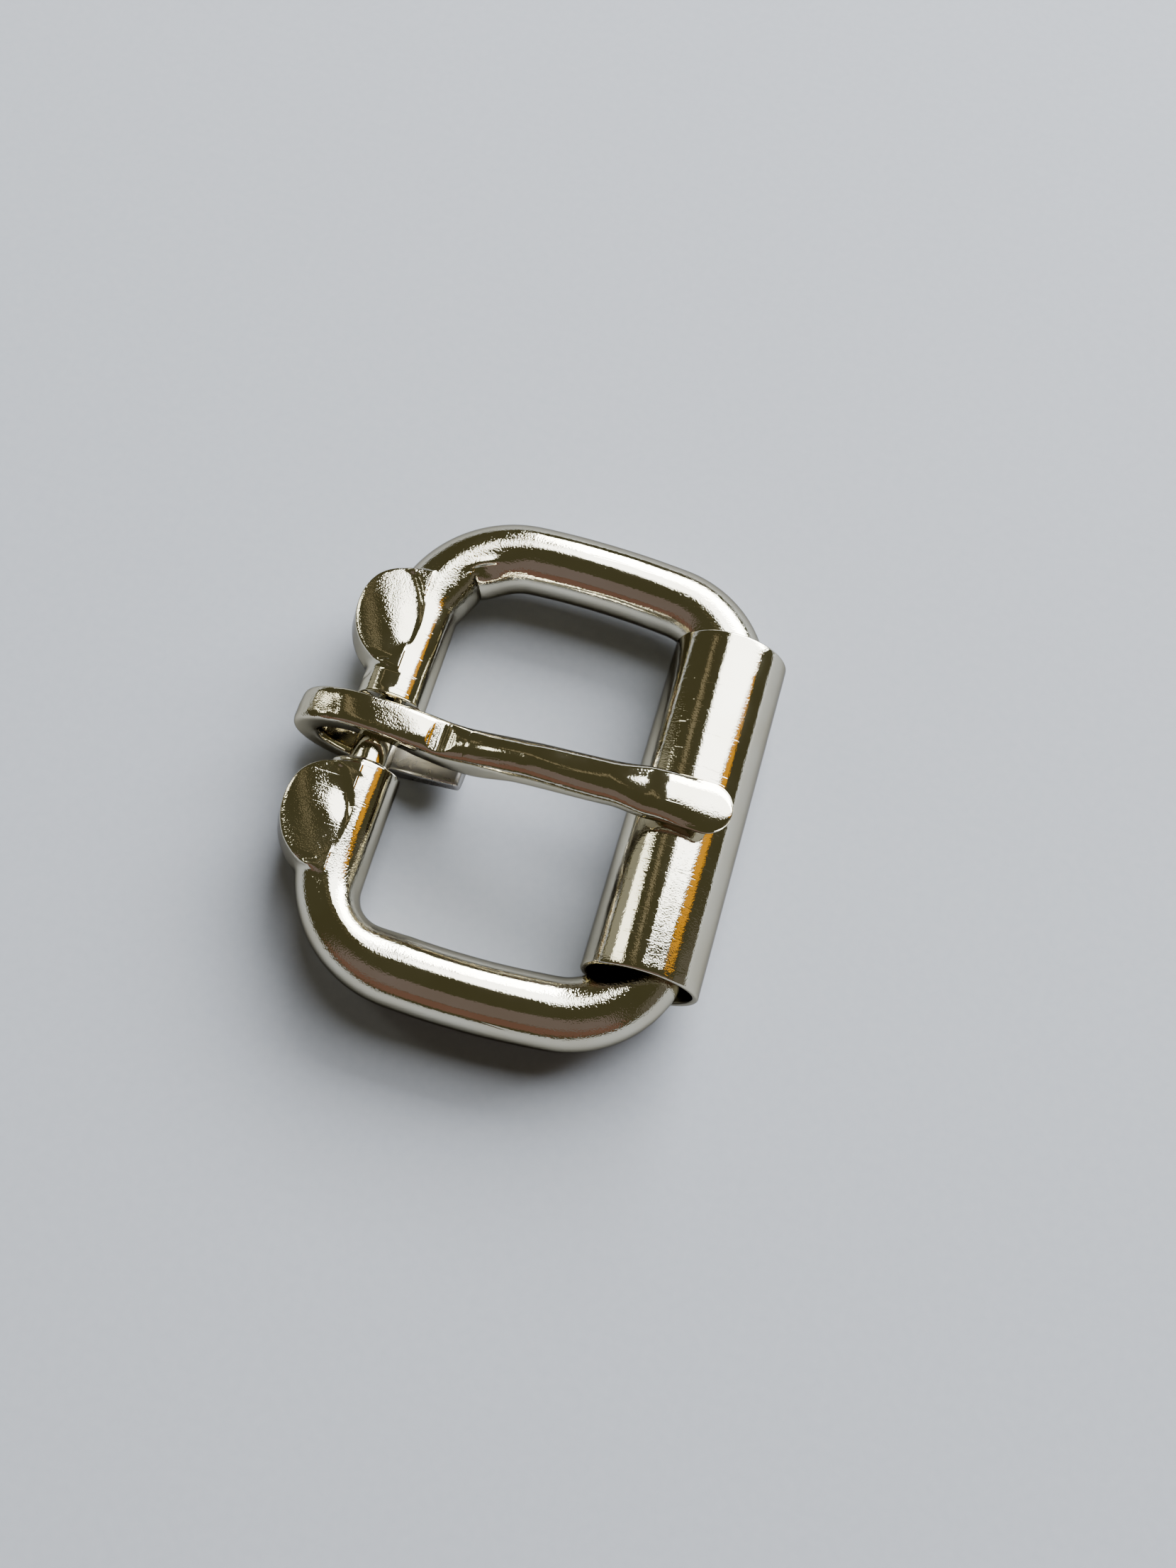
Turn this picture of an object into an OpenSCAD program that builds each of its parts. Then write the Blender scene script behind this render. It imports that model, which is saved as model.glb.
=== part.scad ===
// Roller buckle: a heel-bar buckle bent from one round wire, with two pressed
// stops on its heel bar, a loose sheet roller and a curled tongue.
// The heel bar runs along Y at the left, the roller along Y at the right, and
// the buckle lies flat on its roller and on the eye of its tongue.

/* [Wire frame] */
// Thickness of the round wire
wire_d = 5; // [4:0.1:6]
// Distance from the heel bar's axis to the roller bar's axis
bar_spacing = 22.8; // [19:0.1:27]
// Clear width between the side bars where they are widest
inner_w = 27.4; // [26:0.1:36]
// Bend radius of the wire's axis at the heel bar
heel_bend_r = 7; // [5:0.1:8]
// Bend radius of the wire's axis at the roller bar
roller_bend_r = 6.2; // [5:0.1:6.6]
// Radius of the slight outward bow of the side bars
side_bow_r = 62; // [40:1:120]
// Distance from the heel bar's axis to the widest place of the side bars
widest_at = 10.4; // [9:0.1:12]

/* [Heel bar] */
// Thickness of the heel bar where the tongue turns on it
neck_d = 3; // [2:0.1:3.6]
// Where the neck ends towards the near side
neck_near = 2.9; // [2.6:0.1:3.4]
// Where the neck ends towards the far side
neck_far = 1.5; // [1.5:0.1:3]
// Length of the shoulder from the neck to the full wire
shoulder_l = 0.4; // [0.2:0.05:0.8]

/* [Stops] */
// Radius of the rim of a stop, seen from above
stop_r = 5.1; // [4:0.1:5.6]
// How far a stop stands out from the wire
stop_out = 2.25; // [1.4:0.05:3]
// Thickness of a stop at its rim
stop_t = 2.4; // [1.6:0.1:3]
// Place of the far stop's middle along the heel bar
stop_far_y = 8.3; // [7:0.1:9]
// Place of the near stop's middle along the heel bar
stop_near_y = -7.1; // [-9:0.1:-7]
// Rise of a stop's face from its rim to its crest
crest_rise = 0.65; // [0.3:0.05:0.8]

/* [Roller] */
// Outer diameter of the roller
roller_d = 8.1; // [7.6:0.1:9]
// Thickness of the roller's sheet
roller_wall = 0.45; // [0.3:0.05:0.6]
// Length of the roller
roller_l = 24.9; // [20:0.1:25]
// How far the roller has slid along its bar
roller_slide = -0.1; // [-0.3:0.05:0.3]
// Angle from upright at which the roller bar lies in the roller
roller_lean = 37; // [0:1:45]

/* [Tongue] */
// Thickness of the tongue's shank
shank_d = 3; // [2.6:0.1:3.2]
// Width of the strip of the eye
eye_w = 2.6; // [2:0.1:2.8]
// Thickness of the strip over the heel bar
eye_t = 1.8; // [1.2:0.1:2]
// Thickness of the strip at the back of the eye
back_t = 2; // [1.4:0.1:2.2]
// Distance from the heel bar's axis to the back end of the eye
eye_back = 6.05; // [5:0.05:6.4]
// Distance from the heel bar's axis to where the strip starts to bend round
eye_turn_at = 0.6; // [0.2:0.1:1]
// How far the underside of the eye lies nearer than its top
eye_skew = 0.5; // [0:0.1:0.6]
// Reach of the strip's cut end past the heel bar's axis
tail_reach = 6.1; // [4:0.1:8]
// Thickness of the strip's cut end
tail_t = 1.3; // [1:0.1:1.6]
// Height of the middle of the shank's dip above the heel bar's axis
dip_h = 1.7; // [1.3:0.1:2]
// Slope of the shank as it rises to the roller
shank_rise = 0.29; // [0.2:0.01:0.34]
// Width of the flattened tip
tip_w = 3.6; // [3:0.1:4]
// Thickness of the tongue where its flattened tip meets the roller
tip_t = 1.8; // [1.4:0.1:2]
// Thickness of the tip at its end
tip_end_t = 0.9; // [0.6:0.1:1]
// Reach of the tip past the roller's axis
tip_over = 2.85; // [1:0.05:3.6]
// Sideways turn of the tongue in its loose eye
tongue_yaw = -2.4; // [-2.5:0.1:0]
// Sideways place of the tongue on the neck
tongue_shift = -0.15; // [-0.2:0.05:0.1]

/* [Running gaps] */
// Gap between the heel bar's neck and the strip of the eye
eye_gap = 0.1; // [0.05:0.01:0.15]
// Gap between the roller bar and the roller where they rest together
roller_gap = 0.1; // [0.05:0.01:0.15]
// Gap between the tip of the tongue and the roller
tip_gap = 0.13; // [0.1:0.01:0.2]

/* [Hidden] */
steel = [0.80, 0.79, 0.74];
bright_steel = [0.86, 0.85, 0.80];
tongue_steel = [0.74, 0.73, 0.68];

// The wire draws down by this much in its bends, which also lap into the rest
bend_thinning = 0.02;
bend_lap = 0.25;

// The wire's centreline: half of it, as tangent arcs
wire_r = wire_d / 2;
neck_r = neck_d / 2;
half_w = (inner_w + wire_d) / 2;
heel_tilt = asin((widest_at - heel_bend_r) / (side_bow_r - heel_bend_r));
roller_tilt = asin((bar_spacing - widest_at - roller_bend_r) / (side_bow_r - roller_bend_r));
bow_y = half_w - side_bow_r;
heel_bend_y = bow_y + (side_bow_r - heel_bend_r) * cos(heel_tilt);
roller_bend_y = bow_y + (side_bow_r - roller_bend_r) * cos(roller_tilt);
roller_bend_x = bar_spacing - roller_bend_r;

// The roller's seat on its bar
roller_r = roller_d / 2;
bore_r = roller_r - roller_wall;
roller_play = bore_r - wire_r - roller_gap;
roller_x = bar_spacing - roller_play * sin(roller_lean);
roller_z = roller_play * cos(roller_lean);
rim_bevel = roller_wall / 3;

// Heights above the heel bar's axis
lift = roller_r - roller_z;
top_h = neck_r + eye_gap + eye_t / 2;
sole_t = lift - neck_r - eye_gap;
bottom_h = -(neck_r + eye_gap + sole_t / 2);
back_h = (top_h + bottom_h) / 2;
back_rise = (top_h - bottom_h) / 2;
back_depth = eye_back - back_t / 2 - eye_turn_at;

// The part's origin lies under the middle of its bounding box
mid_x = (roller_x + roller_r - eye_back) / 2;

// Fineness of round forms
round_fn = 96;
ring_n = 20;

// A stretch of the wire's run, swept about the Z axis
module arc_wire(arc_r, r, from, turn) {
    rotate([0, 0, from])
        rotate_extrude(angle = turn, $fn = round_fn)
            translate([arc_r, 0])
                circle(r = r, $fn = round_fn / 2);
}

// A bend reaches a little way into the straighter wire at both of its ends
module bend(bend_r, from, turn) {
    lap = bend_lap / bend_r * 180 / PI;
    arc_wire(bend_r, wire_r - bend_thinning, from - lap, turn + 2 * lap);
}

// The heel bar with its neck, turned about the Y axis
module heel_bar() {
    rotate([-90, 0, 0])
        rotate_extrude($fn = round_fn / 2)
            polygon([
                [0, -heel_bend_y],
                [wire_r, -heel_bend_y],
                [wire_r, -neck_near - shoulder_l],
                [neck_r, -neck_near],
                [neck_r, neck_far],
                [wire_r, neck_far + shoulder_l],
                [wire_r, heel_bend_y],
                [0, heel_bend_y]
            ]);
}

// One pressed stop: half of a coin whose face rises to a crest beside the heel
// bar and falls a little before it meets the bar. Shares of the coin's radius
// place the crest, the fall and the rounded rim.
module stop(y) {
    rim_h = stop_t / 2;
    crest_h = rim_h + crest_rise;
    centre_x = stop_r - wire_r - stop_out;
    half_outline = [
        [stop_r * 0.38, crest_h - crest_rise * 0.2],
        [stop_r * 0.5, crest_h],
        [stop_r * 0.58, crest_h - crest_rise * 0.04],
        [stop_r * 0.76, crest_h - crest_rise * 0.36],
        [stop_r * 0.93, rim_h],
        [stop_r * 0.975, rim_h * 0.8],
        [stop_r, rim_h * 0.35]
    ];
    outline = concat(
        [[0, half_outline[0][1]]], half_outline,
        [for (i = [len(half_outline) - 1:-1:0]) [half_outline[i][0], -half_outline[i][1]]],
        [[0, -half_outline[0][1]]]
    );
    translate([centre_x, y, 0])
        intersection() {
            rotate_extrude($fn = round_fn)
                polygon(outline);
            translate([-2 * stop_r - centre_x, -2 * stop_r, -stop_r])
                cube([2 * stop_r, 4 * stop_r, 2 * stop_r]);
        }
}

// Bends and side bar of one side of the frame
module side_run() {
    translate([heel_bend_r, heel_bend_y, 0])
        bend(heel_bend_r, 90 + heel_tilt, 90 - heel_tilt);
    translate([widest_at, bow_y, 0])
        arc_wire(side_bow_r, wire_r, 90 - roller_tilt, heel_tilt + roller_tilt);
    translate([roller_bend_x, roller_bend_y, 0])
        bend(roller_bend_r, 0, 90 - roller_tilt);
}

module frame() {
    color(steel)
        place() {
            heel_bar();
            stop(stop_far_y);
            stop(stop_near_y);
            side_run();
            mirror([0, 1, 0])
                side_run();
            translate([bar_spacing, roller_bend_y, 0])
                rotate([90, 0, 0])
                    cylinder(r = wire_r, h = 2 * roller_bend_y, $fn = round_fn / 2);
        }
}

module roller() {
    half_l = roller_l / 2;
    color(bright_steel)
        place()
            translate([roller_x, roller_slide, roller_z])
                rotate([-90, 0, 0])
                    rotate_extrude($fn = round_fn)
                        polygon([
                            [bore_r, -half_l + rim_bevel],
                            [bore_r + rim_bevel, -half_l],
                            [roller_r - rim_bevel, -half_l],
                            [roller_r, -half_l + rim_bevel],
                            [roller_r, half_l - rim_bevel],
                            [roller_r - rim_bevel, half_l],
                            [bore_r + rim_bevel, half_l],
                            [bore_r, half_l - rim_bevel]
                        ]);
}

// Places in the tongue's run, as distances from the heel bar's axis
leave_at = 0.15 * tail_reach;
dip_at = 0.29 * bar_spacing;
drop_at = 0.6 * dip_at;
climb_at = 0.46 * bar_spacing;
flatten_at = roller_x - 1.3 * roller_r;
flat_at = roller_x - 0.6 * roller_r;
tip_end = roller_x + tip_over;

// The shank's underside rises along a line that passes the roller with the tip's gap
rise_length = sqrt(1 + shank_rise * shank_rise);
under_roller_h = roller_z + (roller_r + tip_gap) * rise_length;
function under_line(u) = under_roller_h + shank_rise * (u - roller_x);
function rise_line(u, t) = under_line(u) + t / 2 * rise_length;

// The middle of the way down into the dip, and of the cut end
drop_h = 0.35 * top_h + 0.65 * dip_h;
tail_h = bottom_h + 0.52 * sole_t;
flatten_t = 0.77 * shank_d;
// The tip ends level: its top stays at the height it has above the roller
tip_h = under_line(roller_x) + tip_end_t / 2 + 0.1 * tip_over;

// Runs of the tongue. Columns: place, height, slope, width, thickness, squareness
tail_run = [
    [leave_at, bottom_h, 0, eye_w, sole_t, 4],
    [tail_reach, tail_h, 0.22, eye_w, tail_t, 4]
];
shank_run = [
    [leave_at, top_h, 0, eye_w, eye_t, 4],
    [drop_at, drop_h, -0.22, 0.97 * shank_d, 0.8 * shank_d, 3],
    [dip_at, dip_h, 0.04, shank_d, 0.97 * shank_d, 2.3],
    [climb_at, rise_line(climb_at, shank_d), shank_rise, shank_d, shank_d, 2],
    [flatten_at, rise_line(flatten_at, flatten_t), shank_rise, 1.03 * shank_d, flatten_t, 2.1],
    [flat_at, rise_line(flat_at, tip_t), 0.8 * shank_rise, tip_w, tip_t, 2.4],
    [tip_end, tip_h, -0.05, tip_w, tip_end_t, 2.4]
];

function part_of(run, u, i = 0) = i >= len(run) - 2 || u < run[i + 1][0] ? i : part_of(run, u, i + 1);
function share(a, b, u) = (u - a[0]) / (b[0] - a[0]);
function eased(a, b, u, column) =
    let (s = share(a, b, u))
    a[column] + (b[column] - a[column]) * s * s * (3 - 2 * s);
function height(a, b, u) =
    let (s = share(a, b, u), l = b[0] - a[0])
    a[1] * (1 - 3 * s * s + 2 * s * s * s) + l * a[2] * (s - 2 * s * s + s * s * s)
    + b[1] * (3 * s * s - 2 * s * s * s) + l * b[2] * (s * s * s - s * s);
function slope(a, b, u) =
    let (s = share(a, b, u), l = b[0] - a[0])
    (b[1] - a[1]) / l * (6 * s - 6 * s * s) + a[2] * (1 - 4 * s + 3 * s * s) + b[2] * (3 * s * s - 2 * s);

// A station is [place, height, direction, width, thickness, squareness]
function station(run, u, back = false) =
    let (i = part_of(run, u), a = run[i], b = run[i + 1])
    [u, height(a, b, u), atan(slope(a, b, u)) + (back ? 180 : 0),
        eased(a, b, u, 3), eased(a, b, u, 4), eased(a, b, u, 5)];

// The section shrinks over its last stretch, so that the end is round in plan
function rounded_end(st, into, length, edge) =
    let (k = sqrt(max(0, 1 - pow(into / length, 2))))
    [st[0], st[1], st[2], st[3] * k, st[4] * (edge + (1 - edge) * k), st[5]];

function along(from, to, steps) = [for (i = [0:steps]) from + (to - from) * i / steps];

tip_round = tip_w / 2;
tail_places = along(tail_reach, leave_at, 6);
shank_places = concat(along(leave_at, climb_at, 14), along(climb_at + 1, tip_end - tip_round, 12));
tail_nose = 0.25 * tail_t;
stations = concat(
    [let (s = station(tail_run, tail_reach, true)) [s[0] + tail_nose, s[1] + 0.22 * tail_nose, s[2], 0.8 * s[3], 0.5 * s[4], s[5]]],
    [for (u = tail_places) station(tail_run, u, true)],
    [for (a = [270:-12:90]) [
        -eye_turn_at + back_depth * cos(a), back_h + back_rise * sin(a),
        atan2(-back_rise * cos(a), back_depth * sin(a)), eye_w,
        back_t + ((a > 180 ? sole_t : eye_t) - back_t) * pow(sin(a), 2), 4
    ]],
    [for (u = shank_places) station(shank_run, u)],
    [for (a = [15:15:90])
        rounded_end(station(shank_run, tip_end - tip_round * (1 - sin(a))), tip_round * sin(a) * 0.995, tip_round, 0.55)]
);

// One closed ring of points around the run at a station
function ring(st) =
    let (drop = (top_h - st[1]) / (top_h - bottom_h), near = st[0] > leave_at && st[2] < 90 ? 0 : -eye_skew * min(1, max(0, drop)))
    [for (j = [0:ring_n - 1])
        let (a = 360 * j / ring_n, c = cos(a), s = sin(a),
             across = sign(c) * pow(abs(c), 2 / st[5]) * st[3] / 2,
             out = sign(s) * pow(abs(s), 2 / st[5]) * st[4] / 2)
        [st[0] - sin(st[2]) * out, near + across, st[1] + cos(st[2]) * out]];

module tongue() {
    rings = len(stations);
    points = [for (st = stations) each ring(st)];
    walls = [for (i = [0:rings - 2], j = [0:ring_n - 1])
        let (k = (j + 1) % ring_n)
        [i * ring_n + j, (i + 1) * ring_n + j, (i + 1) * ring_n + k, i * ring_n + k]];
    first = [for (j = [0:ring_n - 1]) j];
    last = [for (j = [ring_n - 1:-1:0]) (rings - 1) * ring_n + j];
    color(tongue_steel)
        place()
            translate([0, tongue_shift, 0])
                rotate([0, 0, tongue_yaw])
                    polyhedron(points = points, faces = concat(walls, [first, last]));
}

// From the heel bar's axis to the part's own origin
module place() {
    translate([-mid_x, 0, lift])
        children();
}

frame();
roller();
tongue();
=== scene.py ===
"""Looks of the roller buckle: a bent wire frame with pressed stops, a sheet roller and a curled tongue."""
import math

import bpy
import numpy as np
from mathutils import Matrix, Vector


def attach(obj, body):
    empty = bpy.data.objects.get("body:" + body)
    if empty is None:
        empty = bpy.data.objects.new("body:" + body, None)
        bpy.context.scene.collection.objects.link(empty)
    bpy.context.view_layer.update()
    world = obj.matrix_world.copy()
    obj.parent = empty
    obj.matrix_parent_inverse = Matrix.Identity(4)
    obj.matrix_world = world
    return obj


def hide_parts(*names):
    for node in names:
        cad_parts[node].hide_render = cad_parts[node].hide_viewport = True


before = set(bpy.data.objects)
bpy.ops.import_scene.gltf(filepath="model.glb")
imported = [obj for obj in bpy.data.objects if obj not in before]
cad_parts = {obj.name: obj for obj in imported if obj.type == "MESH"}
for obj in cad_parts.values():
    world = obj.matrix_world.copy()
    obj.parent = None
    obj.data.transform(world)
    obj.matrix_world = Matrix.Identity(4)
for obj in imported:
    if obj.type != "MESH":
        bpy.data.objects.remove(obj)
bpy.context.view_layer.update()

# Sizes in mm, as in the part's source, with the heel bar's axis as origin
WIRE_R = 2.5
BAR_SPACING = 22.8
HALF_W = 16.2
HEEL_BEND_R = 7.0
ROLLER_BEND_R = 6.2
SIDE_BOW_R = 62.0
WIDEST_AT = 10.4
NECK_R, NECK_NEAR, NECK_FAR, SHOULDER_L = 1.5, 2.9, 1.5, 0.4
STOP_R, STOP_OUT, STOP_T, CREST_RISE = 5.1, 2.25, 2.4, 0.65
STOP_FAR_Y, STOP_NEAR_Y = 8.3, -7.1
ROLLER_R, ROLLER_WALL, ROLLER_L, ROLLER_SLIDE = 4.05, 0.45, 24.9, -0.1
ROLLER_X, ROLLER_Z = 22.198, 0.799
EYE_W, EYE_T, BACK_T, EYE_BACK, EYE_TURN_AT, EYE_SKEW = 2.6, 1.8, 2.0, 6.05, 0.6, 0.5
TAIL_REACH, TAIL_T = 6.1, 1.3
SHANK_D, DIP_H, SHANK_RISE = 3.0, 1.7, 0.29
TIP_W, TIP_T, TIP_END_T, TIP_OVER = 3.6, 1.8, 0.9, 2.85
TONGUE_YAW, TONGUE_SHIFT = -2.4, -0.15
EYE_GAP, TIP_GAP = 0.1, 0.13
LIFT = ROLLER_R - ROLLER_Z
MID_X = (ROLLER_X + ROLLER_R - EYE_BACK) / 2


def smooth(x, a, b):
    s = np.clip((x - a) / (b - a), 0, 1)
    return s * s * (3 - 2 * s)


def hump(x, centre, width):
    return np.exp(-(((x - centre) / width) ** 2))


def soft_min(a, b, k):
    h = np.clip(0.5 + 0.5 * (b - a) / k, 0, 1)
    return b * (1 - h) + a * h - k * h * (1 - h)


def lattice(x, y, seed):
    v = np.sin(x * 127.1 + y * 311.7 + seed * 74.7) * 43758.5453
    return v - np.floor(v)


def value_noise(x, y, seed=0):
    """Smooth noise from -1 to 1 with a cell of 1."""
    x0, y0 = np.floor(x), np.floor(y)
    u, v = x - x0, y - y0
    u, v = u * u * (3 - 2 * u), v * v * (3 - 2 * v)
    a, b = lattice(x0, y0, seed), lattice(x0 + 1, y0, seed)
    c, d = lattice(x0, y0 + 1, seed), lattice(x0 + 1, y0 + 1, seed)
    return 2 * ((a * (1 - u) + b * u) * (1 - v) + (c * (1 - u) + d * u) * v) - 1


def to_row(points):
    """From mm round the heel bar's axis to metres in the row frame."""
    return (points - np.array([MID_X, 0, -LIFT])) * 0.001


def grid_mesh(name, rings, closed_along, attributes=None, caps=False):
    """A mesh of rings of points. rings has the shape (along, round, 3) and the rings are closed."""
    n, m, _ = rings.shape
    co = to_row(rings.reshape(-1, 3))
    i = np.arange(n if closed_along else n - 1)[:, None]
    j = np.arange(m)[None, :]
    i2, j2 = (i + 1) % n, (j + 1) % m
    quads = np.stack([i * m + j, i * m + j2, i2 * m + j2, i2 * m + j], -1).reshape(-1, 4)
    faces = [tuple(q) for q in quads.tolist()]
    if caps:
        first, last = len(co), len(co) + 1
        co = np.vstack([co, co[:m].mean(0), co[-m:].mean(0)])
        faces += [(first, (k + 1) % m, k) for k in range(m)]
        faces += [(last, (n - 1) * m + k, (n - 1) * m + (k + 1) % m) for k in range(m)]
    mesh = bpy.data.meshes.new(name)
    mesh.from_pydata(co.tolist(), [], faces)
    for key, values in (attributes or {}).items():
        flat = np.asarray(values, np.float32).reshape(-1)
        if caps:
            flat = np.append(flat, [flat[:m].mean(), flat[-m:].mean()])
        mesh.attributes.new(key, "FLOAT", "POINT").data.foreach_set("value", flat.astype(np.float32))
    mesh.validate()
    mesh.update()
    mesh.polygons.foreach_set("use_smooth", [True] * len(mesh.polygons))
    o = bpy.data.objects.new(name, mesh)
    bpy.context.scene.collection.objects.link(o)
    return o


# Wire frame: rings along its centreline
heel_tilt = math.asin((WIDEST_AT - HEEL_BEND_R) / (SIDE_BOW_R - HEEL_BEND_R))
roller_tilt = math.asin((BAR_SPACING - WIDEST_AT - ROLLER_BEND_R) / (SIDE_BOW_R - ROLLER_BEND_R))
bow_y = HALF_W - SIDE_BOW_R
heel_bend_y = bow_y + (SIDE_BOW_R - HEEL_BEND_R) * math.cos(heel_tilt)
roller_bend_y = bow_y + (SIDE_BOW_R - ROLLER_BEND_R) * math.cos(roller_tilt)
roller_bend_x = BAR_SPACING - ROLLER_BEND_R


def straight(x, y0, y1, outward, steps):
    y = np.linspace(y0, y1, steps, endpoint=False)
    return np.c_[0 * y + x, y], np.c_[0 * y + outward, 0 * y], np.full(steps, -1.0)


def arc(cx, cy, r, a0, a1, steps):
    a = np.linspace(a0, a1, steps, endpoint=False)
    n = np.c_[np.cos(a), np.sin(a)]
    return np.array([cx, cy]) + r * n, n, a


half = math.pi / 2
RUNS = [
    ("heel", straight(0, -heel_bend_y, heel_bend_y, -1, 300)),
    ("far_heel", arc(HEEL_BEND_R, heel_bend_y, HEEL_BEND_R, math.pi, half + heel_tilt, 170)),
    ("far_side", arc(WIDEST_AT, bow_y, SIDE_BOW_R, half + heel_tilt, half - roller_tilt, 80)),
    ("far_roller", arc(roller_bend_x, roller_bend_y, ROLLER_BEND_R, half - roller_tilt, 0, 80)),
    ("roller_bar", straight(BAR_SPACING, roller_bend_y, -roller_bend_y, 1, 40)),
    ("near_roller", arc(roller_bend_x, -roller_bend_y, ROLLER_BEND_R, 0, -half + roller_tilt, 90)),
    ("near_side", arc(WIDEST_AT, -bow_y, SIDE_BOW_R, -half + roller_tilt, -half - heel_tilt, 80)),
    ("near_heel", arc(HEEL_BEND_R, -heel_bend_y, HEEL_BEND_R, -half - heel_tilt, -math.pi, 150)),
]
centre = np.vstack([run[1][0] for run in RUNS])
normal = np.vstack([run[1][1] for run in RUNS])
angle = np.concatenate([run[1][2] for run in RUNS])
where = np.concatenate([[k] * len(run[1][0]) for k, run in enumerate(RUNS)])
names = [run[0] for run in RUNS]
stride = np.linalg.norm(np.diff(np.vstack([centre, centre[:1]]), axis=0), axis=1)
along = np.concatenate([[0], np.cumsum(stride)[:-1]])

FINE = 480
ROUND = 88
theta = np.linspace(-math.pi, math.pi, FINE, endpoint=False)
cos_t, sin_t = np.cos(theta)[None, :], np.sin(theta)[None, :]


def is_run(name):
    return (where == names.index(name))[:, None]


def corner_reach(psi, flat, r):
    """Distance from a bend's centre to a rounded square corner with its flats at that distance."""
    a = flat - r
    u, v = np.abs(np.cos(psi)), np.abs(np.sin(psi))
    s = a * (u + v)
    round_part = s + np.sqrt(np.maximum(s * s - (2 * a * a - r * r), 0))
    flat_part = flat / np.maximum(u, v)
    in_corner = (flat_part * np.minimum(u, v)) > a
    return np.where(in_corner, round_part, flat_part)


inner = np.clip(-cos_t, 0, 1)
wire = np.full((len(centre), FINE), WIRE_R)
y_c, x_c = centre[:, 1][:, None], centre[:, 0][:, None]

# The neck with its shoulders, rounded by a little
ROUNDING = 0.05
far_of_neck = smooth(y_c, NECK_FAR - ROUNDING, NECK_FAR + SHOULDER_L + ROUNDING)
near_of_neck = 1 - smooth(y_c, -NECK_NEAR - SHOULDER_L - ROUNDING, -NECK_NEAR + ROUNDING)
neck = NECK_R + (WIRE_R - NECK_R) * (far_of_neck + near_of_neck)
wire = np.where(is_run("heel"), np.minimum(wire, neck), wire)

# Near heel bend: its inner side is bent much sharper than the outer
SHARP_R = 2.2
inner_bend_r = HEEL_BEND_R - WIRE_R
sharper = corner_reach(angle[:, None] + math.pi, inner_bend_r, SHARP_R) - inner_bend_r
wire = np.where(is_run("near_heel"), wire - 0.95 * sharper * inner**1.2, wire)

# Far heel bend: crowded metal on the inner side, split by a crease, with a folded lip above it.
# Places along the bend and round the wire are in degrees, heights in mm
CROWD_H, CREASE_DEPTH, LIP_H, LIP_DEPTH = 0.18, 0.30, 0.10, 0.22
CREASE_AT, LIP_AT = 41, 50
in_bend = np.degrees(math.pi - angle[:, None])
round_wire = np.degrees(theta)[None, :] % 360
crowd = smooth(in_bend, 4, 24) * (1 - smooth(in_bend, 55, 86)) * smooth(inner, 0.25, 0.75)
crease = np.exp(-np.abs(in_bend - CREASE_AT) / 4.5) * smooth(inner, 0.35, 0.6) * (1 - smooth(sin_t * WIRE_R, 1.5, 2.1))
lip_line = 118 + 0.35 * (in_bend - LIP_AT)
lip_edge = hump(round_wire, lip_line - 4, 5)
under_lip = smooth(round_wire, lip_line, lip_line + 5) * (1 - smooth(round_wire, lip_line + 14, lip_line + 30))
lip = hump(in_bend, LIP_AT, 10) * (LIP_H * lip_edge - LIP_DEPTH * under_lip)
wire = np.where(is_run("far_heel"), wire + CROWD_H * crowd - CREASE_DEPTH * crease + lip, wire)

# The die left a narrow flat along the bar's crown, from the neck to the bends.
# Columns: side of the tongue, height, lean, where the flat starts, where it is full
CROWN = [(1, 2.4285, 0.041, 1.8, 2.6), (-1, 2.443, 0.062, 3.3, 4.6)]
CROWN_END, CROWN_FADED = 10.0, 13.5
for side, crown_h, lean, starts, full in CROWN:
    away = side * y_c
    fade = smooth(away, CROWN_END, CROWN_FADED) + 1 - smooth(away, starts, full)
    flat = crown_h / np.maximum(sin_t + lean * cos_t, 0.3) + 0.25 * fade + 4.0 * (sin_t < 0.5)
    wire = np.where((away > 0) & (x_c < 3.5), soft_min(wire, flat, 0.03), wire)

# Two folds where the near roller bend was squeezed, and small dents all over
in_roller_bend = np.degrees(angle[:, None] + half)
ridge = 0.05 * hump(in_roller_bend, -24, 5) * hump(round_wire, 128, 20)
furrow = 0.09 * hump(in_roller_bend, -14, 4) * hump(round_wire, 150, 18)
wire = np.where(is_run("near_roller"), wire + ridge - furrow, wire)
DENT_H, DENT_L = 0.012, 2.2
dent_at = along[:, None] / DENT_L
dents = value_noise(dent_at + 0 * cos_t, 2.2 * cos_t + 5, 3) * value_noise(0.7 * dent_at, 1.4 * sin_t + 9, 5)
wire = wire + DENT_H * dents - DENT_H / 2

# The stops' faces stand higher than the solids' crest, as the photograph's reflections ask
FACE_LIFT = 0.6
CREST_H = STOP_T / 2 + CREST_RISE + FACE_LIFT
FALL = {STOP_FAR_Y: 0.012, STOP_NEAR_Y: 0.032}
COIN_EDGE = 0.25
FILLET, FACE_EDGE = 0.3, 0.14


def face_height(x, y, y0):
    """Upper face of a stop: two slopes that meet along a slanted crest, and a fall at the near end."""
    dy = y - y0
    d = 0.909 * (x + 2.15) + 0.418 * dy
    share = hump(dy, 0.6, 1.9) if y0 < 0 else smooth(dy, -3.4, -1.8)
    slopes = np.where(d < 0, 0.055 * d * d, (0.03 * d + FALL[y0] * d * d) * share)
    end = np.maximum(-dy - 3.4, 0)
    return CREST_H - slopes - 0.35 * end * end


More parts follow.
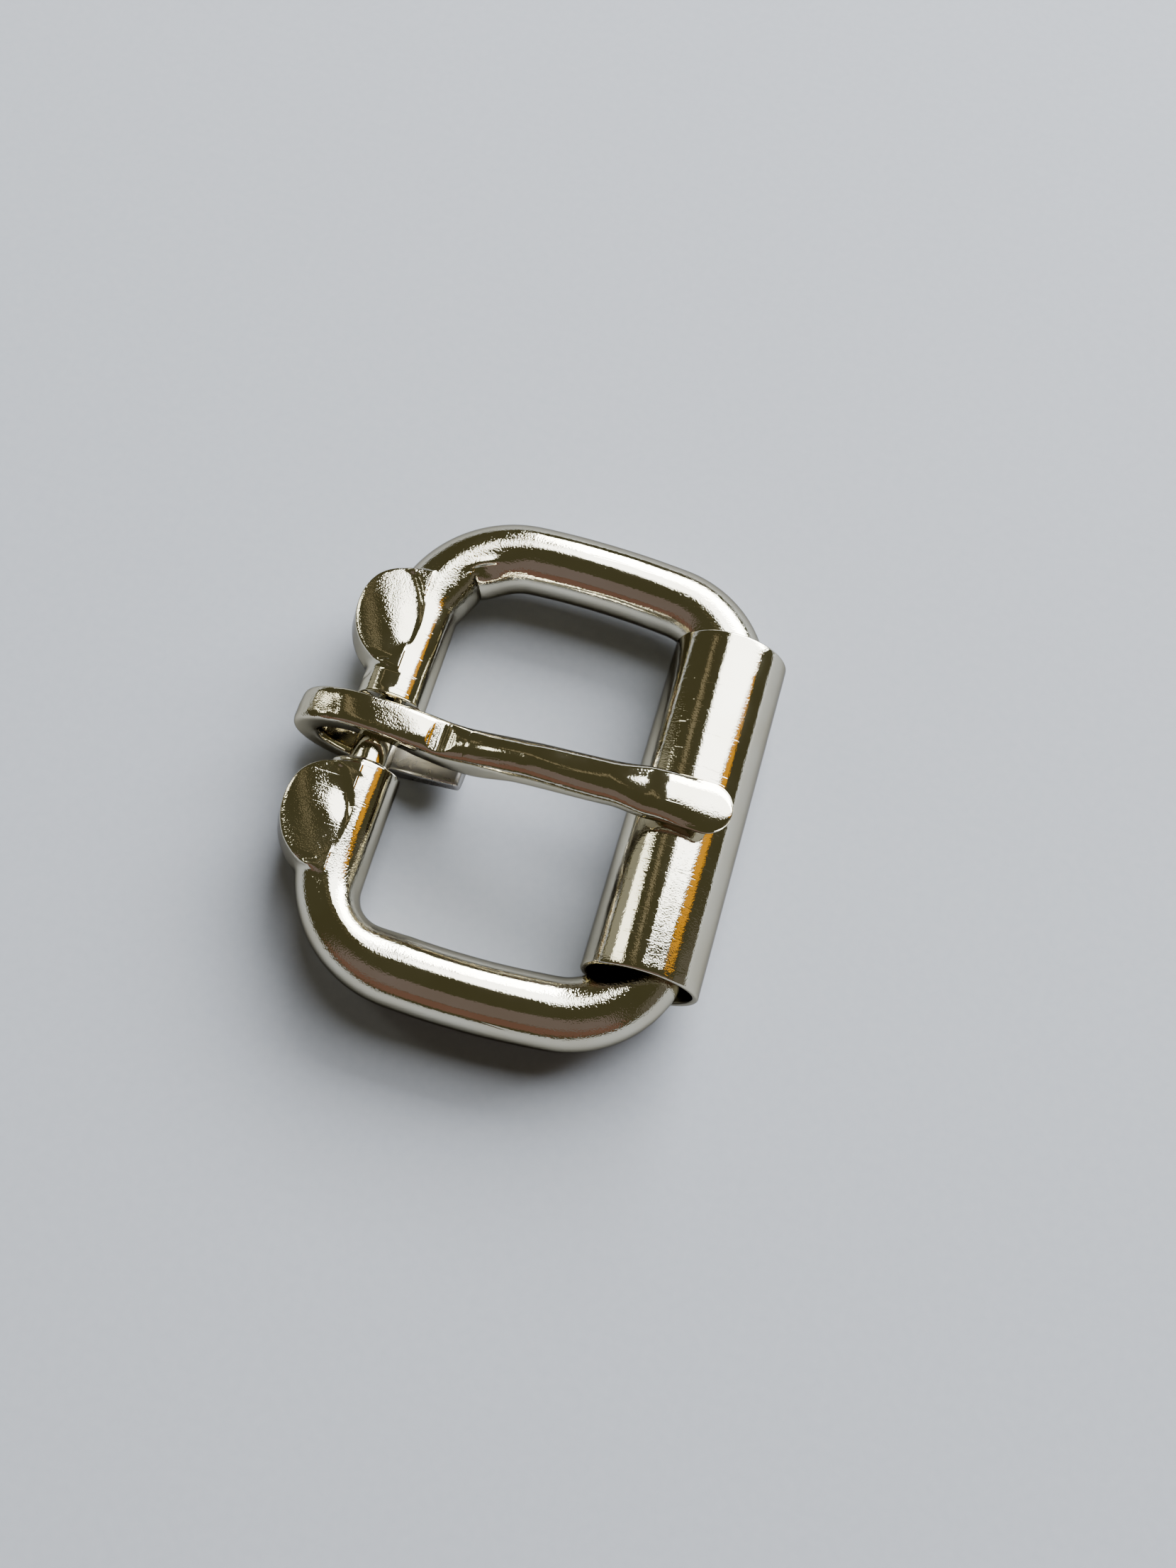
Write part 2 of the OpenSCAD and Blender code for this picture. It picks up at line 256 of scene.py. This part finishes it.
def coin_gap(x, y, z, y0):
    """Rough distance to the half coin of a stop, which reaches a little higher than its face."""
    dy = y - y0
    dy = dy + 0.007 * np.maximum(dy, 0) ** 4
    rho = np.hypot(x - (STOP_R - WIRE_R - STOP_OUT), dy) + 0.22 * np.abs(z)
    half_t = np.where(z > 0, CREST_H + 0.1, STOP_T / 2 + 0.35 * smooth(rho, STOP_R, 3))
    dx, dz = rho - (STOP_R - COIN_EDGE), np.abs(z) - (half_t - COIN_EDGE)
    coin = np.hypot(np.maximum(dx, 0), np.maximum(dz, 0)) + np.minimum(np.maximum(dx, dz), 0) - COIN_EDGE
    return np.maximum(coin, x - 0.1)


def pressed_gap(x, y, z, y0):
    """Rough distance above the face that the die left on the stop and on the heel bar beside it."""
    across = y - y0 + 1.3
    foot = 0.45 - np.where(across > 0, 0.09, 0.19) * across**2
    valley = 0.12 * np.logaddexp(0, (x - foot) / 0.12)
    ends = 1.5 * (smooth(y - y0, 2.8, 3.8) + smooth(y0 - y, 3.8, 5.0)) * smooth(x, -1.9, -0.9)
    return z - (face_height(x - valley, y, y0) + 0.5 * valley + valley**2 + ends)


# The stops join the bar in a smooth fillet. Each ray's outermost crossing is found by halving
NEAREST, FARTHEST = 0.6, 7.5
reach = wire.copy()
for y0 in (STOP_FAR_Y, STOP_NEAR_Y):
    rows = np.where((np.abs(centre[:, 1] - y0) < STOP_R + 1.6) & (centre[:, 0] < 3))[0]
    c, n, w = centre[rows], normal[rows], wire[rows]
    low, high = np.full(w.shape, NEAREST), np.full(w.shape, FARTHEST)
    for _ in range(24):
        r = (low + high) / 2
        x = c[:, :1] + r * cos_t * n[:, :1]
        y = c[:, 1:] + r * cos_t * n[:, 1:]
        z = r * sin_t + 0 * x
        both = soft_min(r - w, coin_gap(x, y, z, y0), FILLET)
        inside = -soft_min(-both, -pressed_gap(x, y, z, y0), FACE_EDGE) < 0
        low, high = np.where(inside, r, low), np.where(inside, high, r)
    reach[rows] = (low + high) / 2

# Evenly spaced points round each ring
rings = np.zeros((len(centre), ROUND, 3))
grain = np.zeros((len(centre), ROUND))
in_a_bend = is_run("far_heel") | is_run("near_heel") | is_run("far_roller") | is_run("near_roller")
SPREAD = 30
kernel = np.hanning(2 * SPREAD + 1)
bendy = np.where(in_a_bend, 1.0, 0.0)[:, 0]
bendy = np.convolve(np.r_[bendy[-SPREAD:], bendy, bendy[:SPREAD]], kernel / kernel.sum(), "valid")
for i in range(len(centre)):
    r = reach[i]
    u, z = r * np.cos(theta), r * np.sin(theta)
    u2, z2 = np.append(u, u[0]), np.append(z, z[0])
    step = np.hypot(np.diff(u2), np.diff(z2))
    course = np.unwrap(np.arctan2(np.diff(z2), np.diff(u2)))
    turned_by = np.abs(np.diff(np.append(course, course[0] + 2 * math.pi)))
    s = np.concatenate([[0], np.cumsum(step + 0.8 * turned_by)])
    at = np.linspace(0, s[-1], ROUND, endpoint=False)
    uu, zz = np.interp(at, s, u2), np.interp(at, s, z2)
    rings[i, :, 0] = centre[i, 0] + uu * normal[i, 0]
    rings[i, :, 1] = centre[i, 1] + uu * normal[i, 1]
    rings[i, :, 2] = zz
    grain[i] = 0.25 + 0.75 * bendy[i] + 0.45 * smooth(np.hypot(uu, zz), 2.6, 3.2)
wire_frame = grid_mesh("wire_frame", rings[:, ::-1], True, {"grain": np.clip(grain[:, ::-1], 0, 1.2)})

# Roller: a sheet tube with rounded rims. Its outline runs along the outside and back through the bore
bore = ROLLER_R - ROLLER_WALL
rim = 0.17
end = ROLLER_L / 2
steps = np.linspace(0, half, 7)
outline = (
    [(ROLLER_R, y) for y in np.linspace(-end + rim, end - rim, 60)]
    + [(ROLLER_R - rim + rim * math.cos(a), end - rim + rim * math.sin(a)) for a in steps[1:]]
    + [(bore + rim - rim * math.sin(a), end - rim + rim * math.cos(a)) for a in steps]
    + [(bore, y) for y in np.linspace(end - rim, -end + rim, 24)[1:]]
    + [(bore + rim - rim * math.cos(a), -end + rim - rim * math.sin(a)) for a in steps[1:]]
    + [(ROLLER_R - rim + rim * math.sin(a), -end + rim - rim * math.cos(a)) for a in steps[:-1]]
)
outline = np.array(outline)
turn = np.linspace(0, 2 * math.pi, 220, endpoint=False)[:, None]
rr, yy = outline[None, :, 0], outline[None, :, 1]
waves = value_noise(turn / (2 * math.pi) * 6 + 0 * rr, yy / 5, 8) - 1
wavy_r = rr * (1 + 0.0005 * waves * smooth(rr + 0 * turn, bore, ROLLER_R))
tube_x, tube_z = ROLLER_X + wavy_r * np.sin(turn), ROLLER_Z + wavy_r * np.cos(turn)
tube = np.stack([tube_x, ROLLER_SLIDE + yy + 0 * turn, tube_z], -1)
roller_grain = 0.33 + 0.3 * smooth(np.abs(yy), end - 1.2, end - 0.2) + 0 * turn
sheet_roller = grid_mesh("sheet_roller", tube[:, ::-1], True, {"grain": roller_grain[:, ::-1]})

# Tongue: a swept section from the cut end under the bar, round the eye and out to the tip
top_h = NECK_R + EYE_GAP + EYE_T / 2
sole_t = LIFT - NECK_R - EYE_GAP
bottom_h = -(NECK_R + EYE_GAP + sole_t / 2)
back_h, back_rise = (top_h + bottom_h) / 2, (top_h - bottom_h) / 2
back_depth = EYE_BACK - BACK_T / 2 - EYE_TURN_AT
leave_at, dip_at, climb_at = 0.15 * TAIL_REACH, 0.29 * BAR_SPACING, 0.46 * BAR_SPACING
flatten_at, flat_at = ROLLER_X - 1.3 * ROLLER_R, ROLLER_X - 0.6 * ROLLER_R
tip_end = ROLLER_X + TIP_OVER
rise_length = math.hypot(1, SHANK_RISE)
under_roller_h = ROLLER_Z + (ROLLER_R + TIP_GAP) * rise_length


def rise(u, t):
    """Height of the middle of the shank where it is t thick, over the line that its underside rises along."""
    return under_roller_h + SHANK_RISE * (u - ROLLER_X) + t / 2 * rise_length


# Columns: place, height, slope, width, thickness, squareness
TAIL = [(leave_at, bottom_h, 0, EYE_W, sole_t, 5), (TAIL_REACH, bottom_h + 0.52 * sole_t, 0.22, EYE_W, TAIL_T, 5)]
SHANK = [
    (leave_at, top_h, 0, EYE_W, EYE_T, 5),
    (0.6 * dip_at, 0.35 * top_h + 0.65 * DIP_H, -0.22, 0.97 * SHANK_D, 0.8 * SHANK_D, 3.4),
    (dip_at, DIP_H, 0.04, SHANK_D, 0.97 * SHANK_D, 2.3),
    (climb_at, rise(climb_at, SHANK_D), SHANK_RISE, SHANK_D, SHANK_D, 2),
    (flatten_at, rise(flatten_at, 0.77 * SHANK_D), SHANK_RISE, 1.03 * SHANK_D, 0.77 * SHANK_D, 2.1),
    (flat_at, rise(flat_at, TIP_T), 0.8 * SHANK_RISE, TIP_W, TIP_T, 2.4),
    (tip_end, under_roller_h + TIP_END_T / 2 + 0.1 * TIP_OVER, -0.05, TIP_W, TIP_END_T, 2.4),
]


def station(run, u):
    i = 0
    while i < len(run) - 2 and u >= run[i + 1][0]:
        i += 1
    a, b = run[i], run[i + 1]
    l = b[0] - a[0]
    s = (u - a[0]) / l
    e = s * s * (3 - 2 * s)
    h = a[1] * (1 - e) + b[1] * e + l * a[2] * (s - 2 * s * s + s**3) + l * b[2] * (s**3 - s * s)
    g = (b[1] - a[1]) / l * (6 * s - 6 * s * s) + a[2] * (1 - 4 * s + 3 * s * s) + b[2] * (3 * s * s - 2 * s)
    return [u, h, math.atan(g)] + [a[k] + (b[k] - a[k]) * e for k in (3, 4, 5)]


# Columns: place, height, direction, width, thickness, squareness, 1 on the tail
sections = []
tip_round = TIP_W / 2
u, h, g, width, thick, square = station(TAIL, TAIL_REACH)
for a in np.linspace(0, 1, 14)[1:]:
    k = math.sqrt(max(0.0, 1 - (1 - a) ** 2))
    place = [u + 0.33 * (1 - a), h + 0.07 * (1 - a), g + math.pi]
    sections.append([*place, width * (0.8 + 0.2 * k), thick * max(0.05, k), square, 1])
for place in np.linspace(TAIL_REACH, leave_at, 50)[1:]:
    u, h, g, width, thick, square = station(TAIL, place)
    sections.append([u, h, g + math.pi, width, thick, square, 1])
for a in np.linspace(1.5 * math.pi, half, 120):
    flank = sole_t if a > math.pi else EYE_T
    tangent = math.atan2(-back_rise * math.cos(a), back_depth * math.sin(a)) % (2 * math.pi)
    place = [-EYE_TURN_AT + back_depth * math.cos(a), back_h + back_rise * math.sin(a), tangent]
    sections.append([*place, EYE_W, BACK_T + (flank - BACK_T) * math.sin(a) ** 2, 5, 0])
for place in np.concatenate([np.linspace(leave_at, 7, 130), np.linspace(7, tip_end - tip_round, 130)[1:]]):
    sections.append([*station(SHANK, place), 0])
for a in np.linspace(0, half, 26)[1:]:
    u, h, g, width, thick, square = station(SHANK, tip_end - tip_round * (1 - math.sin(a)))
    k = math.sqrt(max(0.0, 1 - math.sin(a) ** 2))
    sections.append([u, h, g, width * max(k, 0.02), thick * (0.45 + 0.55 * k), square, 0])
sections = np.array(sections)
AROUND = 72
ang = np.linspace(0, 2 * math.pi, AROUND, endpoint=False)[None, :]
ca, sa = np.cos(ang), np.sin(ang)
px, ph, pd, pw, pt, pe = (sections[:, k][:, None] for k in range(6))
across = np.sign(ca) * np.abs(ca) ** (2 / pe) * pw / 2
out = np.sign(sa) * np.abs(sa) ** (2 / pe) * pt / 2
on_tail = (sections[:, 6] == 1)[:, None]
on_top = ~on_tail & (px > leave_at - 0.01)
drop = np.clip((top_h - ph) / (top_h - bottom_h), 0, 1)
skew = np.where(on_top, 0, -EYE_SKEW * drop)
# Hand-made unevenness: hammered places on the eye and slight waves along the shank
length = np.concatenate([[0], np.cumsum(np.hypot(np.diff(sections[:, 0]), np.diff(sections[:, 1])))])[:, None]
facing_out = smooth(sa, 0.1, 0.7)
blows = value_noise(length / 0.55 + 0 * ca, across / 0.6, 11)
pits = value_noise(length / 0.22 + 0 * ca, across / 0.25, 12)
hammer = 0.035 * blows + 0.02 * pits
hammered = smooth(px, -2.0, -3.2) * (1 - smooth(np.abs(ph - top_h), 1.2, 3.0))
out = out + facing_out * (hammer - 0.06) * hammered
out = out + 0.012 * value_noise(length / 2.5 + 0 * ca, sa * 1.3 + 4, 13)
# The shank's top climbs evenly out of the dip, and thins towards the tip
climb = 0.42 * hump(px, 7.25, 1.85) - 0.1 * hump(px, 10.4, 0.9)
thinning = 0.08 * smooth(px, 17.2, 19.2) - 0.25 * smooth(px, 20.5, 22.6)
out = out + smooth(sa, 0, 0.6) * on_top * (climb + thinning)
# A hollow facet struck across the top behind the eye
FACET_AT, FACET_BEFORE, FACET_BEYOND, FACET_DEPTH = 4.2, 0.75, 1.0, 0.15
from_facet = (px - FACET_AT) / np.where(px < FACET_AT, FACET_BEFORE, FACET_BEYOND)
ceiling = pt / 2 - FACET_DEPTH * (1 - from_facet**2) + 0.10 * (across + 0.5) / pw
coined = on_top & (np.abs(from_facet) < 1.8) & (out > ceiling)
out = np.where(coined, ceiling + 0 * out, out)
points = np.stack([px - np.sin(pd) * out, skew + across, ph + np.cos(pd) * out], -1)
yaw = math.radians(TONGUE_YAW)
turned = points.copy()
turned[..., 0] = points[..., 0] * math.cos(yaw) - points[..., 1] * math.sin(yaw)
turned[..., 1] = points[..., 0] * math.sin(yaw) + points[..., 1] * math.cos(yaw) + TONGUE_SHIFT
# The blows on the eye's back stay inside the solid's box
turned[..., 0] = np.maximum(turned[..., 0], 0.035 - EYE_BACK)
eye_grain = (0.9 * hammered + hump(px, 0.6, 1.3) * on_top) * facing_out
tongue_grain = 0.3 + eye_grain + 0.25 * smooth(px, ROLLER_X - 2, ROLLER_X)
looks = {"grain": np.clip(tongue_grain, 0, 1.3), "coined": coined.astype(float), "dull": on_tail + 0 * ca}
curled_tongue = grid_mesh("curled_tongue", turned, False, looks, caps=True)

POLISH = 0.035
GRAZING = (0.36, 0.35, 0.34, 1)
UNPOLISHED = (0.42, 0.41, 0.40, 1)


def nickel(name, colour, struck=False):
    """Bright nickel with its fine grain, scratches and uneven polish. Struck adds ridges where "coined" is 1."""
    mat = bpy.data.materials.new(name)
    mat.use_nodes = True
    nt = mat.node_tree
    n, link = nt.nodes, nt.links.new
    shader = n["Principled BSDF"]
    shader.inputs["Metallic"].default_value = 1.0
    shader.inputs["Base Color"].default_value = (*colour, 1)
    # Grazing reflections stay dim, which keeps the outlines dark against the floor
    shader.inputs["Specular Tint"].default_value = GRAZING
    where_at = n.new("ShaderNodeTexCoord")

    def noise(scale, detail, rough_part=0.5):
        t = n.new("ShaderNodeTexNoise")
        t.inputs["Scale"].default_value = scale
        t.inputs["Detail"].default_value = detail
        t.inputs["Roughness"].default_value = rough_part
        link(where_at.outputs["Object"], t.inputs["Vector"])
        return t

    def spread(source, a, b, c, d):
        m = n.new("ShaderNodeMapRange")
        m.inputs["From Min"].default_value = a
        m.inputs["From Max"].default_value = b
        m.inputs["To Min"].default_value = c
        m.inputs["To Max"].default_value = d
        link(source, m.inputs["Value"])
        return m.outputs["Result"]

    def math_node(op, a, b):
        m = n.new("ShaderNodeMath")
        m.operation = op
        for socket, v in zip(m.inputs, (a, b)):
            if isinstance(v, (int, float)):
                socket.default_value = v
            else:
                link(v, socket)
        return m.outputs[0]

    def attribute(key):
        a = n.new("ShaderNodeAttribute")
        a.attribute_name = key
        return a.outputs["Fac"]

    def bump(height, strength, distance, under=None):
        b = n.new("ShaderNodeBump")
        b.inputs["Strength"].default_value = strength
        b.inputs["Distance"].default_value = distance
        link(height, b.inputs["Height"])
        if under is not None:
            link(under.outputs["Normal"], b.inputs["Normal"])
        return b

    # Colour: slightly warmer and darker where the plating is thin
    patches = noise(260, 3)
    tint = n.new("ShaderNodeValToRGB")
    tint.color_ramp.elements[0].position = 0.35
    tint.color_ramp.elements[0].color = (*[c * f for c, f in zip(colour, (0.93, 0.91, 0.86))], 1)
    tint.color_ramp.elements[1].position = 0.65
    tint.color_ramp.elements[1].color = (*colour, 1)
    link(patches.outputs["Fac"], tint.inputs["Fac"])
    # Gloss: a hazier film in patches. The tongue's tail never saw the polishing wheel
    haze = noise(420, 4)
    dull = attribute("dull")
    gloss = spread(haze.outputs["Fac"], 0.35, 0.7, POLISH, POLISH + 0.05)
    link(math_node("ADD", gloss, math_node("MULTIPLY", dull, 0.22)), shader.inputs["Roughness"])
    grey = n.new("ShaderNodeMix")
    grey.data_type = "RGBA"
    link(dull, grey.inputs["Factor"])
    link(tint.outputs["Color"], grey.inputs["A"])
    grey.inputs["B"].default_value = UNPOLISHED
    link(grey.outputs["Result"], shader.inputs["Base Color"])
    # Relief: orange peel and specks, stronger where the metal was bent or struck
    peel = math_node("MULTIPLY", noise(3600, 2, 0.6).outputs["Fac"], 0.6)
    speck = math_node("MULTIPLY", noise(9000, 1).outputs["Fac"], 0.9)
    wide = math_node("MULTIPLY", noise(900, 1).outputs["Fac"], 0.5)
    fine = math_node("MULTIPLY", math_node("ADD", peel, speck), attribute("grain"))
    last = bump(math_node("ADD", fine, wide), 0.5, 0.00003)
    # Scratches: thin sunken lines in two directions
    for spin, stretch in ((0.5, 1.0), (1.9, 0.8)):
        lines = n.new("ShaderNodeMapping")
        lines.inputs["Rotation"].default_value = (0.2, 0.1, spin)
        lines.inputs["Scale"].default_value = (260 * stretch, 4200, 1200)
        link(where_at.outputs["Object"], lines.inputs["Vector"])
        t = n.new("ShaderNodeTexNoise")
        t.inputs["Scale"].default_value = 1.0
        t.inputs["Detail"].default_value = 0
        link(lines.outputs["Vector"], t.inputs["Vector"])
        last = bump(spread(t.outputs["Fac"], 0.74, 0.80, 0, 1), 0.12, 0.00002, last)
        last.invert = True
    if struck:
        ridges = n.new("ShaderNodeTexWave")
        ridges.bands_direction = "X"
        ridges.inputs["Scale"].default_value = 1100
        ridges.inputs["Distortion"].default_value = 1.5
        ridges.inputs["Detail"].default_value = 2
        link(where_at.outputs["Object"], ridges.inputs["Vector"])
        last = bump(math_node("MULTIPLY", ridges.outputs["Fac"], attribute("coined")), 0.18, 0.00004, last)
    link(last.outputs["Normal"], shader.inputs["Normal"])
    return mat


for o, mat, body, node, slot in (
    (wire_frame, nickel("nickel_wire", (0.60, 0.57, 0.465)), "frame", "frame", "frame_plate"),
    (sheet_roller, nickel("nickel_sheet", (0.61, 0.58, 0.475)), "roller", "roller", "roller_plate"),
    (curled_tongue, nickel("nickel_tongue", (0.60, 0.565, 0.455), struck=True), "tongue", "tongue", "tongue_plate"),
):
    o.data.materials.append(mat)
    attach(o, body)
    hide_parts(node)

# Floor: pale matt paper
bpy.ops.mesh.primitive_plane_add(size=6)
floor = bpy.context.object
floor.name = "floor"
paper = bpy.data.materials.new("paper")
paper.use_nodes = True
nt = paper.node_tree
shader = nt.nodes["Principled BSDF"]
shader.inputs["Roughness"].default_value = 0.9
shader.inputs["Specular IOR Level"].default_value = 0.0
coords = nt.nodes.new("ShaderNodeTexCoord")
fibre = nt.nodes.new("ShaderNodeTexNoise")
fibre.inputs["Scale"].default_value = 1500
fibre.inputs["Detail"].default_value = 4
nt.links.new(coords.outputs["Object"], fibre.inputs["Vector"])
ramp = nt.nodes.new("ShaderNodeValToRGB")
ramp.color_ramp.elements[0].color = (0.246, 0.260, 0.286, 1)
ramp.color_ramp.elements[1].color = (0.276, 0.290, 0.316, 1)
nt.links.new(fibre.outputs["Fac"], ramp.inputs["Fac"])
nt.links.new(ramp.outputs["Color"], shader.inputs["Base Color"])
floor.data.materials.append(paper)


# Light: one large soft window to the right and far side, dim warm fills on the other sides
def panel(name, corners, colour, radiance):
    """A flat glowing panel with its corners there, seen only in the light that it gives."""
    mesh = bpy.data.meshes.new(name)
    mesh.from_pydata(corners, [], [tuple(range(len(corners)))])
    o = bpy.data.objects.new(name, mesh)
    bpy.context.scene.collection.objects.link(o)
    mat = bpy.data.materials.new(name)
    mat.use_nodes = True
    nodes, link = mat.node_tree.nodes, mat.node_tree.links.new
    nodes.remove(nodes["Principled BSDF"])
    glow = nodes.new("ShaderNodeEmission")
    glow.inputs["Color"].default_value = (*colour, 1)
    glow.inputs["Strength"].default_value = radiance
    link(glow.outputs[0], nodes["Material Output"].inputs["Surface"])
    mesh.materials.append(mat)
    o.visible_camera = False


PANEL_H = 0.62
DAYLIGHT = (0.96, 0.98, 1.0)


def overhead(name, outline, colour, radiance):
    """A level panel over the object."""
    panel(name, [(x, y, PANEL_H) for x, y in outline], colour, radiance)


def upright(name, start, end, low, high, colour, radiance):
    """A standing panel over the floor's line from start to end."""
    panel(name, [(*start, low), (*end, low), (*end, high), (*start, high)], colour, radiance)


overhead("window", [(-0.004, 0.165), (0.41, 0.20), (0.92, 0.58), (-0.10, 0.58), (-0.14, 0.33)], DAYLIGHT, 11)
overhead("window_sky", [(0.92, 0.58), (2.2, 1.55), (2.2, 1.9), (-0.35, 1.9), (-0.10, 0.58)], DAYLIGHT, 34)
overhead("amber_strip", [(0.45, 0.19), (0.78, 0.24), (1.08, 0.44), (0.97, 0.60)], (1.0, 0.44, 0.01), 1.2)
overhead("thin_strip", [(-0.15, 0.10), (-0.20, 0.10), (-0.62, 0.44), (-0.54, 0.46)], (1.0, 0.86, 0.55), 0.35)
upright("left_window", (-0.7, 0.30), (-0.7, 0.14), 0.33, 0.75, (1.0, 0.99, 0.84), 6)
upright("left_sill", (-0.7, 0.30), (-0.7, 0.14), 0.05, 0.33, (1.0, 0.98, 0.78), 0.45)
upright("right_wall", (0.9, -0.5), (0.9, 0.25), 0.02, 0.5, (1.0, 0.92, 0.74), 0.17)
upright("near_wall", (-0.6, -0.5), (0.6, -0.5), 0.28, 0.95, (1.0, 0.80, 0.76), 0.24)
upright("near_table", (-0.6, -0.5), (0.6, -0.5), 0.07, 0.27, (1.0, 0.55, 0.42), 0.24)
world = bpy.data.worlds.new("room")
world.use_nodes = True
world.node_tree.nodes["Background"].inputs["Color"].default_value = (0.092, 0.086, 0.044, 1)
bpy.context.scene.world = world

# Camera: from the fit to the photograph, in mm round the heel bar's axis
CAM_FROM = np.array([21.272, -36.642, 99.857])
CAM_TURN = (2.75288, 0.40119, -0.01138)
FOCAL_PX, PHOTO_W = 2159.66, 1659
axis = Vector(CAM_TURN)
look = Matrix.Rotation(axis.length, 3, axis.normalized())
cam_data = bpy.data.cameras.new("camera")
cam_data.sensor_fit = "HORIZONTAL"
cam_data.sensor_width = 36
cam_data.lens = FOCAL_PX / PHOTO_W * 36
cam_data.clip_start = 0.002
cam_data.clip_end = 50
cam = bpy.data.objects.new("camera", cam_data)
bpy.context.scene.collection.objects.link(cam)
basis = Matrix((look[0], -look[1], -look[2])).transposed()
cam.matrix_world = Matrix.Translation(Vector(to_row(CAM_FROM))) @ basis.to_4x4()
bpy.context.scene.camera = cam
